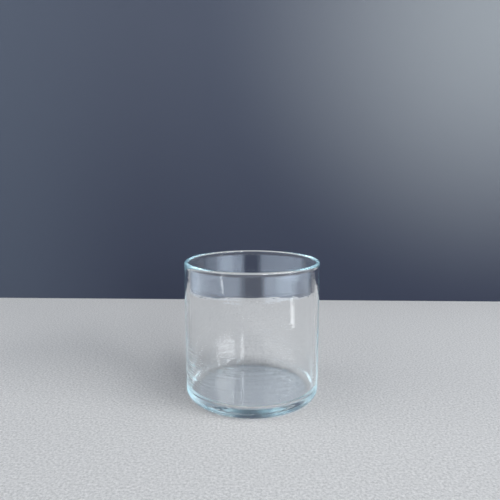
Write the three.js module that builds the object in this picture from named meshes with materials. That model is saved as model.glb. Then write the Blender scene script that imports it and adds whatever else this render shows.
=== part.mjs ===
// Glass cylinder vase: one piece of machine-made soda-lime glass, open at the top.
// The wall, the heel, the thick base and the fire-polished rim are shapes of one melt,
// so the part is a single turned solid. Millimetres, +Z up, the origin at the middle of
// the face that the vase stands on.
import * as THREE from 'three';

// Driving dimensions
const OUTER_DIAMETER = 97;
const HEIGHT = 100;
const WALL_AT_RIM = 2.8;
const WALL_AT_FOOT = 3.4;        // the wall thickens evenly down to the inside corner
const BASE_THICKNESS = 6.2;      // from the standing ring to the inside floor
const HEEL_RADIUS = 7;           // the outside round between the wall and the base
const INSIDE_CORNER_RADIUS = 6;  // the inside round between the wall and the floor
const STANDING_RING_WIDTH = 5;   // the flat ring that touches the table
const PUSH_UP = 0.9;             // how far the underside rises at its middle

// How finely round stretches are faceted
const TURN_SEGMENTS = 80;
const ARC_DIVISIONS = 4;         // a path gives each arc twice this many steps

/** The vase's closed half section, as radius and height, from the axis to the axis. */
function vaseSection() {
  const outer = OUTER_DIAMETER / 2;
  const inner = outer - WALL_AT_FOOT;
  const lip = WALL_AT_RIM / 2;
  const heelStart = outer - HEEL_RADIUS;
  const ringStart = heelStart - STANDING_RING_WIDTH;
  const domeRadius = (ringStart ** 2 + PUSH_UP ** 2) / (2 * PUSH_UP);
  const domeEdge = Math.atan2(domeRadius - PUSH_UP, ringStart);
  const cornerHeight = BASE_THICKNESS + INSIDE_CORNER_RADIUS;
  const taper = Math.atan2(WALL_AT_FOOT - WALL_AT_RIM, HEIGHT - lip - cornerHeight);

  const section = new THREE.Path();
  section.moveTo(0, PUSH_UP);
  // underside: a shallow dome, then the flat standing ring
  section.absarc(0, PUSH_UP - domeRadius, domeRadius, Math.PI / 2, domeEdge, true);
  section.lineTo(heelStart, 0);
  // outside: the rounded heel and the straight wall
  section.absarc(heelStart, HEEL_RADIUS, HEEL_RADIUS, -Math.PI / 2, 0, false);
  section.lineTo(outer, HEIGHT - lip);
  // rim: a full round, as fire polishing leaves it
  section.absarc(outer - lip, HEIGHT - lip, lip, 0, Math.PI, false);
  // inside: the tapering wall, the corner and the flat floor
  const cornerAt = inner - INSIDE_CORNER_RADIUS;
  section.absarc(cornerAt, cornerHeight, INSIDE_CORNER_RADIUS, -taper, -Math.PI / 2, true);
  section.lineTo(0, BASE_THICKNESS);
  return section.getPoints(ARC_DIVISIONS);
}

function clearGlass() {
  return new THREE.MeshStandardMaterial({
    color: 0xdcebee,
    roughness: 0.03,
    metalness: 0,
    transparent: true,
    opacity: 0.35,
  });
}

function makeVase() {
  const geometry = new THREE.LatheGeometry(vaseSection(), TURN_SEGMENTS);
  geometry.rotateX(Math.PI / 2);  // a lathe turns about Y, and the vase stands along Z
  const vase = new THREE.Mesh(geometry, clearGlass());
  vase.name = 'vase';
  return vase;
}

const group = new THREE.Group();
group.add(makeVase());

export default group;
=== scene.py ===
"""Glass cylinder vase: the finished look of the vase, in the frame of its CAD model.

Metres, +Z up. The vase is one piece of clear soda-lime glass. Its mesh is turned from the same
section as the CAD solid, finely enough that the glass refracts smoothly, and then given the
faint waves that moulding leaves in real glass.
"""

import math

import bpy
import numpy as np
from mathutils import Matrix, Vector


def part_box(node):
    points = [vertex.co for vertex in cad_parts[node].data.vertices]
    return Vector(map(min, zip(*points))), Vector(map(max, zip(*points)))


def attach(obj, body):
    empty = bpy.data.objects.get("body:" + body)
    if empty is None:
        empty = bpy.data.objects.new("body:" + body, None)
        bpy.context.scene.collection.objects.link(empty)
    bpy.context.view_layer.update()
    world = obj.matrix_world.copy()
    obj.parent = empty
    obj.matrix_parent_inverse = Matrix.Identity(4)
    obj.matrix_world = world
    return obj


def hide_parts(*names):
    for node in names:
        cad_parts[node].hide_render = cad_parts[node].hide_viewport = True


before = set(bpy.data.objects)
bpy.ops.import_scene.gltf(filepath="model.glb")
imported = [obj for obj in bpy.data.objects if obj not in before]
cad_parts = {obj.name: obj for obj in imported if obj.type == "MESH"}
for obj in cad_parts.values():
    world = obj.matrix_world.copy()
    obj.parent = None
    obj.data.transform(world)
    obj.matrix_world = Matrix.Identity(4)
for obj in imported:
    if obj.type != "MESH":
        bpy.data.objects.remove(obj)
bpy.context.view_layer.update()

# ---------------------------------------------------------------- the vase's dimensions
LOW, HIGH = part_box("vase")
OUTER = (HIGH.x - LOW.x) / 2
HEIGHT = HIGH.z
WALL_TOP = 0.0028
WALL_FOOT = 0.0034  # the wall thickens evenly from the rim down to the inside corner
BASE = 0.0062  # from the standing ring to the inside floor
HEEL = 0.007  # radius of the round between the wall and the base
CORNER = 0.006  # radius of the round between the wall and the inside floor
RING_WIDTH = 0.005  # the flat ring that touches the table
PUSH_UP = 0.0009  # how far the underside rises at its middle

INNER = OUTER - WALL_FOOT
LIP = WALL_TOP / 2

# A shoulder just under the rounded lip: the wall stands proud below it on both faces
SHOULDER_DEPTH = 0.00165
SHOULDER_WIDTH = 0.0003
SHOULDER_STEP = 0.00003

# Moulding waves. Ripples: level rings low on the wall, strongest on the -X side.
RIPPLE_TOP = 0.055
RIPPLE_FULL = 0.016
RIPPLE_FOOT = 0.006
RIPPLE_DEPTH = 0.000032
RIPPLE_PITCHES = (0.0031, 0.0023, 0.0045)
SWELL_DEPTH = 0.000007  # long waves over the whole wall
BORE_OFFSET = (0.00010, -0.00006)  # the bore is a little off the outside's centre

# How finely the section and the turn are divided
TURNS = 300
ARC_STEPS = 16
HIGH_STEPS = 22
LOW_STEPS = 84
SHOULDER_STEPS = 5

# ---------------------------------------------------------------- the glass
GLASS_TINT = (0.40, 0.86, 0.96, 1)
TINT_DENSITY = 2.8
FLUTES = (300, 300, 6)  # upright waves, so many to the metre along X, Y and Z
FLUTE_DEPTH = 0.00004
RINGS = (30, 30, 420)  # level waves
RING_DEPTH = 0.00002
SMUDGES = (60, 60, 60)
SMUDGE_ROUGHNESS = 0.015
SCUFF_TOP = 0.0004
SCUFF_ROUGHNESS = 0.2

# ---------------------------------------------------------------- the set
CAMERA_AT = (-0.0015, -0.3707, 0.1633)
CAMERA_PITCH = 8.59  # degrees below the horizontal
LENS = 37.6
SENSOR = 36.0
BACKDROP_Y = 0.2832
BACKDROP_TURN = 0.031  # the backdrop is nearer on the right
SET_HALF_WIDTH = 1.6
SET_HEIGHT = 1.4
FLOOR_GAP = 0.00005  # glass never quite touches what it stands on
TENT_RADIUS = 0.36
TENT_HEIGHT = 0.10
CARD_STEPS = 48

# Bright stretches low round the vase: from, to, the softness of each edge, strength. Degrees
# round from the camera's side, to the right.
BRIGHT = [
    (18, 74, 14, 14, 3.4),
    (74, 104, 14, 20, 1.7),
    (40, 64, 12, 12, 1.0),
    (-115, -17, 30, 18, 2.5),
]
DIM = 0.14  # the cloth between those stretches
TENT_FADE = (0.040, 0.062)  # the heights between which the cloth's light fades out
TENT_SPAN = (-122, 112)  # from and to, in degrees

# The room's own daylight, in stretches as above, and the elevations where it fades out
ROOM = [
    (15, 115, 30, 20, 0.38),
    (-115, -25, 20, 30, 0.30),
]
ROOM_DIM = 0.17
ROOM_FADE = (35, 60)
CEILING = 0.12  # what is left overhead
DAYLIGHT = (0.96, 0.985, 1.0, 1)
CLOTH = (0.72, 0.845, 1.0, 1)

# Cards: name, from, to, bottom, top, radius, strength, colour. Degrees and metres.
WINDOWS = [
    ("right_window", 37, 78, 0.85, 1.75, 3.0, 13.0, DAYLIGHT),
    ("right_window_gap", 16, 25, 0.5, 1.75, 3.0, 14.0, DAYLIGHT),
    ("left_window", -100, -25, 0.6, 2.6, 3.0, 1.8, DAYLIGHT),
    ("high_right", 40, 115, 3.0, 8.0, 2.4, 1.6, DAYLIGHT),
    ("high_left", -125, -55, 3.0, 8.0, 2.4, 1.2, DAYLIGHT),
]

# The backdrop's tones, and where along Z and X they change: painted shade low by the table, paler to the
# far left, and a painted pool of light towards one high corner
# painted shade: the tone by the table, where the backdrop is darkest
SLATE_PAINTED_SHADE = (0.035, 0.042, 0.069, 1)
SLATE_HIGH = (0.073, 0.084, 0.117, 1)
SLATE_MID = (0.095, 0.115, 0.153, 1)
# painted light: a pale pool of light towards the high right corner
SLATE_PAINTED_LIGHT = (0.265, 0.283, 0.303, 1)
# the heights over which the painted shade by the table fades out
SLATE_SHADE_FADE = (-0.05, 0.40)
SLATE_LEFT = (-0.109, -0.346)
SLATE_PAINTED_LIGHT_AT = (0.31, 0.28, 0.355)
SLATE_PAINTED_LIGHT_REACH = 0.38

# A card lying on the table, glowing with painted light that does not light the table, that shows as a
# highlight on the right of the front wall
TABLE_CARD = [(0.300, -0.150), (0.318, -0.122), (0.226, -0.092), (0.214, -0.112)]
TABLE_CARD_LIGHT = 5.0
FLOOR_COLOUR = (0.71, 0.695, 0.685)
FLOOR_GRAIN = 0.70  # how much its tone varies
FLOOR_GRAIN_SCALE = 620

# A soft glow under the thick base, painted light added to the table there that does not light the table:
# how far out it reaches
UNDER_LIGHT_REACH = 0.047
UNDER_LIGHT = (0.20, 0.31)  # its strength on the left and on the right


# ---------------------------------------------------------------- the vase's mesh
def arc(centre, radius, start, end, steps):
    """Points on a round stretch of the section, from one angle to another, both in degrees."""
    angles = np.radians(np.linspace(start, end, steps + 1))
    return [(centre[0] + radius * math.cos(a), centre[1] + radius * math.sin(a)) for a in angles]


def straight(start, end, steps):
    """Points between two others, leaving out both ends."""
    shares = np.linspace(0, 1, steps + 1)[1:-1]
    return [tuple(np.array(start) * (1 - s) + np.array(end) * s) for s in shares]


def wall(low, high):
    """Points up one face of the wall: close together low down, where the ripples are."""
    split = tuple(
        np.array(low) + (np.array(high) - np.array(low)) * (RIPPLE_TOP - low[1]) / (high[1] - low[1])
    )
    return straight(low, split, LOW_STEPS) + [split] + straight(split, high, HIGH_STEPS)


def section():
    """The half section from the axis under the base, round the outside, to the axis inside."""
    heel_start = OUTER - HEEL
    ring_start = heel_start - RING_WIDTH
    dome = (ring_start**2 + PUSH_UP**2) / (2 * PUSH_UP)
    dome_edge = math.degrees(math.atan2(dome - PUSH_UP, ring_start))
    lip_foot = HEIGHT - LIP
    corner_height = BASE + CORNER
    taper = math.degrees(math.atan2(WALL_FOOT - WALL_TOP, lip_foot - corner_height))
    under = arc((0, PUSH_UP - dome), dome, 90, dome_edge, ARC_STEPS)
    heel = arc((heel_start, HEEL), HEEL, -90, 0, ARC_STEPS)
    rim = arc((OUTER - LIP, lip_foot), LIP, 0, 180, 2 * ARC_STEPS)
    corner = arc((INNER - CORNER, corner_height), CORNER, -taper, -90, ARC_STEPS)
    shoulder = HEIGHT - SHOULDER_DEPTH - SHOULDER_WIDTH
    outside = (OUTER, shoulder)
    inside = (OUTER - WALL_TOP, shoulder)
    points = under + heel
    points += wall(heel[-1], outside) + straight(outside, rim[0], SHOULDER_STEPS) + rim
    points += straight(rim[-1], inside, SHOULDER_STEPS) + wall(corner[0], inside)[::-1] + corner
    points += straight(corner[-1], (0, BASE), ARC_STEPS) + [(0, BASE)]
    return np.array(points)


def smooth(value, start, end):
    share = np.clip((value - start) / (end - start), 0, 1)
    return share * share * (3 - 2 * share)


def moulding(height, turn, face):
    """How far the wall's face stands out at each height and turn. Face is 0 outside, 1 inside."""
    near_base = 1 - smooth(height, RIPPLE_FULL, RIPPLE_TOP)
    near_base = near_base * smooth(height, RIPPLE_FOOT, RIPPLE_FULL)
    strong_side = 0.6 - 0.4 * np.cos(turn)
    rise = 0.0012 * np.sin(turn + face) + 0.0007 * np.sin(3 * turn + 2 * face)
    ripples = 0
    for number, pitch in enumerate(RIPPLE_PITCHES):
        lobes = np.sin((2 + number) * turn + 1.7 * number + 2.1 * face)
        wave = 2 * math.pi * (height + rise * (1 + number)) / pitch
        ripples = ripples + np.sin(wave + 1.3 * number + face) * (0.7 + 0.3 * lobes)
    swell = np.sin(2 * math.pi * height / 0.031 + 2 * turn + face)
    swell = swell + np.sin(2 * math.pi * height / 0.047 - 5 * turn + 3 * face)
    swell = swell + 0.6 * np.sin(9 * turn + 2 * face) + 0.4 * np.sin(23 * turn + 5 * face)
    upright = smooth(height, HEEL, HEEL + 0.01)
    below_lip = 1 - smooth(height, HEIGHT - SHOULDER_DEPTH - SHOULDER_WIDTH, HEIGHT - SHOULDER_DEPTH)
    step = SHOULDER_STEP * below_lip * upright
    return RIPPLE_DEPTH * near_base * strong_side * ripples + SWELL_DEPTH * upright * swell + step


def vase_mesh():
    """The section turned about +Z and moulded, with one vertex at each pole."""
    rings = section()[1:-1]
    turn = np.linspace(0, 2 * math.pi, TURNS, endpoint=False)[None, :]
    radius, height = rings[:, :1], rings[:, 1:]
    top = int(np.argmax(rings[:, 1]))
    outward = np.where(np.arange(len(rings))[:, None] < top, 1.0, -1.0)
    face = (1 - outward) / 2
    on_wall = radius > INNER - CORNER
    radius = radius + outward * on_wall * moulding(height, turn, face)
    off_centre = face * smooth(height, BASE, BASE + CORNER) * (1 - smooth(height, 0.09, HEIGHT))
    x = radius * np.cos(turn) + off_centre * BORE_OFFSET[0]
    y = radius * np.sin(turn) + off_centre * BORE_OFFSET[1]
    points = np.stack([x, y, np.broadcast_to(height, x.shape)], axis=-1).reshape(-1, 3)
    count = len(rings)
    vertices = [(0, 0, PUSH_UP), *map(tuple, points), (0, 0, BASE)]
    last = len(vertices) - 1

    def at(ring, step):
        return 1 + ring * TURNS + step % TURNS

    faces = []
    for step in range(TURNS):
        faces.append((0, at(0, step + 1), at(0, step)))
        for ring in range(count - 1):
            faces.append(
                (at(ring, step), at(ring, step + 1), at(ring + 1, step + 1), at(ring + 1, step))
            )
        faces.append((at(count - 1, step), at(count - 1, step + 1), last))
    mesh = bpy.data.meshes.new("glass_vase")
    mesh.from_pydata(vertices, [], faces)
    mesh.shade_smooth()
    mesh.update()
    return mesh


def link(name, mesh):
    made = bpy.data.objects.new(name, mesh)
    bpy.context.scene.collection.objects.link(made)
    return made


# ---------------------------------------------------------------- materials
def node_material(name):
    material = bpy.data.materials.new(name)
    material.use_nodes = True
    nodes = material.node_tree.nodes
    return material, nodes, material.node_tree.links, nodes["Principled BSDF"]


def glass():
    """Clear soda-lime glass: moulded waves, fine ripples near the base, handling marks."""
    material, nodes, links, shader = node_material("clear_glass")
    shader.inputs["Transmission Weight"].default_value = 1.0
    shader.inputs["IOR"].default_value = 1.52
    place = nodes.new("ShaderNodeTexCoord").outputs["Object"]
    parts = nodes.new("ShaderNodeSeparateXYZ")
    links.new(place, parts.inputs[0])
    height = parts.outputs["Z"]
    flutes = stretched_noise(nodes, links, place, FLUTES)
    flutes = math_node(nodes, links, "MULTIPLY", flutes, FLUTE_DEPTH)
    rings = stretched_noise(nodes, links, place, RINGS)
    rings = math_node(nodes, links, "MULTIPLY", rings, RING_DEPTH)
    bump = nodes.new("ShaderNodeBump")
    bump.inputs["Strength"].default_value = 1.0
    bump.inputs["Distance"].default_value = 1.0
    links.new(math_node(nodes, links, "ADD", flutes, rings), bump.inputs["Height"])
    links.new(bump.outputs["Normal"], shader.inputs["Normal"])
    shader.inputs["Base Color"].default_value = (1, 1, 1, 1)
    smudges = stretched_noise(nodes, links, place, SMUDGES)
    smudges = ramp(nodes, links, smudges, 0.55, 0.75, 0, SMUDGE_ROUGHNESS)
    scuffs = ramp(nodes, links, height, SCUFF_TOP, 0, 0, SCUFF_ROUGHNESS)
    links.new(math_node(nodes, links, "ADD", smudges, scuffs), shader.inputs["Roughness"])
    volume = nodes.new("ShaderNodeVolumeAbsorption")
    volume.inputs["Color"].default_value = GLASS_TINT
    volume.inputs["Density"].default_value = TINT_DENSITY
    links.new(volume.outputs["Volume"], nodes["Material Output"].inputs["Volume"])
    return material


def stretched_noise(nodes, links, place, scales):
    """Noise whose waves are as many to the metre as the scales say, along X, Y and Z."""
    stretch = nodes.new("ShaderNodeMapping")
    stretch.inputs["Scale"].default_value = scales
    noise = nodes.new("ShaderNodeTexNoise")
    noise.inputs["Scale"].default_value = 1.0
    noise.inputs["Detail"].default_value = 1.5
    links.new(place, stretch.inputs["Vector"])
    links.new(stretch.outputs["Vector"], noise.inputs["Vector"])
    return noise.outputs["Fac"]


def ramp(nodes, links, value, start, end, low, high):
    """Low at start and high at end, smoothly. Start may be past end."""
    node = nodes.new("ShaderNodeMapRange")
    node.interpolation_type = "SMOOTHSTEP"
    if start > end:
        start, end, low, high = end, start, high, low
    for socket, number in zip(("From Min", "From Max", "To Min", "To Max"), (start, end, low, high)):
        node.inputs[socket].default_value = number
    links.new(value, node.inputs["Value"])
    return node.outputs["Result"]


def paper(name, colour, variation, scale):
    material, nodes, links, shader = node_material(name)
    place = nodes.new("ShaderNodeTexCoord")
    noise = nodes.new("ShaderNodeTexNoise")
    noise.inputs["Scale"].default_value = scale
    noise.inputs["Detail"].default_value = 4
    noise.inputs["Roughness"].default_value = 0.7
    tone = nodes.new("ShaderNodeMapRange")
    tone.inputs["To Min"].default_value = 1 - variation
    tone.inputs["To Max"].default_value = 1 + variation
    tint = nodes.new("ShaderNodeVectorMath")
    tint.operation = "SCALE"
    tint.inputs[0].default_value = colour
    links.new(place.outputs["Object"], noise.inputs["Vector"])
    links.new(noise.outputs["Fac"], tone.inputs["Value"])
    links.new(tone.outputs["Result"], tint.inputs["Scale"])
    links.new(tint.outputs["Vector"], shader.inputs["Base Color"])
    shader.inputs["Roughness"].default_value = 0.9
    shader.inputs["Specular IOR Level"].default_value = 0.2
    return material


# ---------------------------------------------------------------- the set
def plane(name, corners, material):
    mesh = bpy.data.meshes.new(name)
    mesh.from_pydata(corners, [], [(0, 1, 2, 3)])
    made = link(name, mesh)
    mesh.materials.append(material)
    return made


def set_pieces():
    w, top, down = SET_HALF_WIDTH, SET_HEIGHT, -FLOOR_GAP
    left, right = BACKDROP_Y + w * BACKDROP_TURN, BACKDROP_Y - w * BACKDROP_TURN
    plane("floor", [(-w, -w, down), (w, -w, down), (w, right, down), (-w, left, down)], floor_paper())
    slate = slate_with_painted_light()
    plane("backdrop", [(-w, left, down), (w, right, down), (w, right, top), (-w, left, top)], slate)
    tent = card("light_tent", *TENT_SPAN, 0, TENT_HEIGHT, TENT_RADIUS, tent_light())
    off_the_table(tent)
    for name, start, end, low, high, radius, strength, tint in WINDOWS:
        card(name, start, end, low, high, radius, glow(name, strength, tint))
    reach = UNDER_LIGHT_REACH
    corners = [(-reach, -reach), (reach, -reach), (reach, reach), (-reach, reach)]
    corners = [(x, y, -FLOOR_GAP / 2) for x, y in corners]
    off_the_table(plane("under_light", corners, under_light()))
    # painted light: the glowing card on the table, which does not light the table
    corners = [(x, y, FLOOR_GAP) for x, y in TABLE_CARD]
    off_the_table(plane("table_card", corners, glow("table_card", TABLE_CARD_LIGHT, DAYLIGHT)))


def floor_paper():
    return paper("floor_paper", FLOOR_COLOUR, FLOOR_GRAIN, FLOOR_GRAIN_SCALE)


def slate_with_painted_light():
    """Slate paper with painted shade, darkest by the table and paler upwards, paler to the far left, and
    a painted pool of light towards one high corner.
    """
    material, nodes, links, shader = node_material("slate_with_painted_light")
    place = nodes.new("ShaderNodeTexCoord").outputs["Object"]
    parts = nodes.new("ShaderNodeSeparateXYZ")
    links.new(place, parts.inputs[0])
    # painted shade: darkest by the table, fading out upwards
    up = ramp(nodes, links, parts.outputs["Z"], SLATE_SHADE_FADE[0], SLATE_SHADE_FADE[1], 0, 1)
    tone = blend(nodes, links, up, SLATE_PAINTED_SHADE, SLATE_HIGH)
    far_left = ramp(nodes, links, parts.outputs["X"], SLATE_LEFT[0], SLATE_LEFT[1], 0, 0.5)
    tone = blend(nodes, links, far_left, tone, SLATE_MID)
    # painted light: a pale pool towards the high corner
    apart = nodes.new("ShaderNodeVectorMath")
    apart.operation = "DISTANCE"
    apart.inputs[1].default_value = SLATE_PAINTED_LIGHT_AT
    links.new(place, apart.inputs[0])
    painted_light = ramp(nodes, links, apart.outputs["Value"], SLATE_PAINTED_LIGHT_REACH, 0, 0, 1)
    links.new(blend(nodes, links, painted_light, tone, SLATE_PAINTED_LIGHT), shader.inputs["Base Color"])
    shader.inputs["Roughness"].default_value = 0.9
    shader.inputs["Specular IOR Level"].default_value = 0.2
    return material


def blend(nodes, links, amount, first, second):
    """A colour between two, each of them a number or a link."""
    node = nodes.new("ShaderNodeMix")
    node.data_type = "RGBA"
    links.new(amount, node.inputs[0])
    for socket, colour in ((node.inputs[6], first), (node.inputs[7], second)):
        if isinstance(colour, tuple):
            socket.default_value = colour
        else:
            links.new(colour, socket)
    return node.outputs[2]


def card(name, start, end, low, high, radius, material):
    """A bright card bent round the vase, between two azimuths and two heights."""
    turn = np.radians(np.linspace(start, end, CARD_STEPS + 1))
    foot = [(radius * math.sin(a), -radius * math.cos(a), low) for a in turn]
    head = [(x, y, high) for x, y, z in foot]
    count = len(foot)
    faces = [(i, i + 1, count + i + 1, count + i) for i in range(count - 1)]
    mesh = bpy.data.meshes.new(name)
    mesh.from_pydata(foot + head, [], faces)
    mesh.materials.append(material)
    made = link(name, mesh)
    return made


def off_the_table(made):
    """Neither lighting the table nor shading it."""
    made.visible_diffuse = False
    made.visible_shadow = False


def emission(name):
    material = bpy.data.materials.new(name)
    material.use_nodes = True
    nodes, links = material.node_tree.nodes, material.node_tree.links
    nodes.remove(nodes["Principled BSDF"])
    light = nodes.new("ShaderNodeEmission")
    links.new(light.outputs[0], nodes["Material Output"].inputs["Surface"])
    return material, nodes, links, light


def glow(name, strength, tint):
    material, nodes, links, light = emission(name)
    light.inputs["Color"].default_value = tint
    light.inputs["Strength"].default_value = strength
    return material


def under_light():
    """Painted light under the thick base: a glow added to the table that shows through it, which does
    not light the table.
    """
    material, nodes, links, light = emission("under_light")
    place = nodes.new("ShaderNodeTexCoord").outputs["Object"]
    apart = nodes.new("ShaderNodeVectorMath")
    apart.operation = "LENGTH"
    links.new(place, apart.inputs[0])
    inside = ramp(nodes, links, apart.outputs["Value"], UNDER_LIGHT_REACH, 0.8 * UNDER_LIGHT_REACH, 0, 1)
    parts = nodes.new("ShaderNodeSeparateXYZ")
    links.new(place, parts.inputs[0])
    # the painted glow is stronger on the right
    side = ramp(nodes, links, parts.outputs["X"], -0.04, 0.04, *UNDER_LIGHT)
    light.inputs["Color"].default_value = CLOTH
    links.new(math_node(nodes, links, "MULTIPLY", inside, side), light.inputs["Strength"])
    clear = nodes.new("ShaderNodeBsdfTransparent")
    both = nodes.new("ShaderNodeAddShader")
    links.new(clear.outputs[0], both.inputs[0])
    links.new(light.outputs[0], both.inputs[1])
    links.new(both.outputs[0], nodes["Material Output"].inputs["Surface"])
    return material


def tent_light():
    """Lit cloth, brighter in some directions round the vase, that thins out to nothing upwards."""
    material, nodes, links, light = emission("lit_cloth")
    light.inputs["Color"].default_value = CLOTH
    place = nodes.new("ShaderNodeTexCoord").outputs["Object"]
    azimuth, parts = azimuth_of(nodes, links, place)
    links.new(bands(nodes, links, azimuth, BRIGHT, DIM), light.inputs["Strength"])
    cover = ramp(nodes, links, parts.outputs["Z"], TENT_FADE[0], TENT_FADE[1], 1, 0)
    clear = nodes.new("ShaderNodeBsdfTransparent")
    both = nodes.new("ShaderNodeMixShader")
    links.new(cover, both.inputs[0])
    links.new(clear.outputs[0], both.inputs[1])
    links.new(light.outputs[0], both.inputs[2])
    links.new(both.outputs[0], nodes["Material Output"].inputs["Surface"])
    return material


def azimuth_of(nodes, links, direction):
    """The azimuth of a direction, from the camera's side to the right, and its X, Y and Z."""
    parts = nodes.new("ShaderNodeSeparateXYZ")
    links.new(direction, parts.inputs[0])
    forward = math_node(nodes, links, "MULTIPLY", parts.outputs["Y"], -1)
    return math_node(nodes, links, "ARCTAN2", parts.outputs["X"], forward), parts


def bands(nodes, links, azimuth, stretches, level):
    """A level, and the strength of each bright stretch of azimuth on top of it."""
    for start, end, soft_start, soft_end, strength in stretches:
        rise = smooth_step(nodes, links, azimuth, start - soft_start / 2, start + soft_start / 2)
        fall = smooth_step(nodes, links, azimuth, end + soft_end / 2, end - soft_end / 2)
        band = math_node(nodes, links, "MULTIPLY", rise, fall)
        lit = math_node(nodes, links, "MULTIPLY", band, strength)
        level = math_node(nodes, links, "ADD", lit, level)
    return level


def daylight():
    """A room with daylight from both sides, dim overhead and towards the camera."""
    world = bpy.data.worlds.new("soft_daylight")
    world.use_nodes = True
    bpy.context.scene.world = world
    background = world.node_tree.nodes["Background"]
    nodes, links = world.node_tree.nodes, world.node_tree.links
    place = nodes.new("ShaderNodeTexCoord").outputs["Generated"]
    azimuth, parts = azimuth_of(nodes, links, place)
    level = bands(nodes, links, azimuth, ROOM, ROOM_DIM)
    elevation = math_node(nodes, links, "ARCSINE", parts.outputs["Z"], 0)
    low = smooth_step(nodes, links, elevation, ROOM_FADE[1], ROOM_FADE[0])
    level = math_node(nodes, links, "MULTIPLY", level, low)
    level = math_node(nodes, links, "ADD", level, CEILING)
    links.new(level, background.inputs["Strength"])
    background.inputs["Color"].default_value = CLOTH


def math_node(nodes, links, operation, first, second):
    node = nodes.new("ShaderNodeMath")
    node.operation = operation
    for socket, value in zip(node.inputs, (first, second)):
        if isinstance(value, (int, float)):
            socket.default_value = value
        else:
            links.new(value, socket)
    return node.outputs[0]


def smooth_step(nodes, links, value, start, end):
    """0 before start and 1 past end, in degrees. Start may be past end."""
    node = nodes.new("ShaderNodeMapRange")
    node.interpolation_type = "SMOOTHSTEP"
    rising = end > start
    node.inputs["From Min"].default_value = math.radians(min(start, end))
    node.inputs["From Max"].default_value = math.radians(max(start, end))
    node.inputs["To Min"].default_value = 0 if rising else 1
    node.inputs["To Max"].default_value = 1 if rising else 0
    links.new(value, node.inputs["Value"])
    return node.outputs["Result"]


def camera():
    data = bpy.data.cameras.new("camera")
    data.lens = LENS
    data.sensor_width = SENSOR
    data.clip_start = 0.01
    made = bpy.data.objects.new("camera", data)
    bpy.context.scene.collection.objects.link(made)
    made.location = CAMERA_AT
    made.rotation_euler = (math.radians(90 - CAMERA_PITCH), 0, 0)
    bpy.context.scene.camera = made


def light_paths():
    """Enough bounces for light to get through both walls and along the inside of the glass."""
    cycles = bpy.context.scene.cycles
    cycles.max_bounces = 96
    cycles.transmission_bounces = 96
    cycles.glossy_bounces = 96
    cycles.diffuse_bounces = 4


def main():
    vase = link("glass_vase", vase_mesh())
    vase.data.materials.append(glass())
    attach(vase, "root")
    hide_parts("vase")
    set_pieces()
    daylight()
    camera()
    light_paths()
    bpy.context.scene.view_settings.view_transform = "Standard"


main()
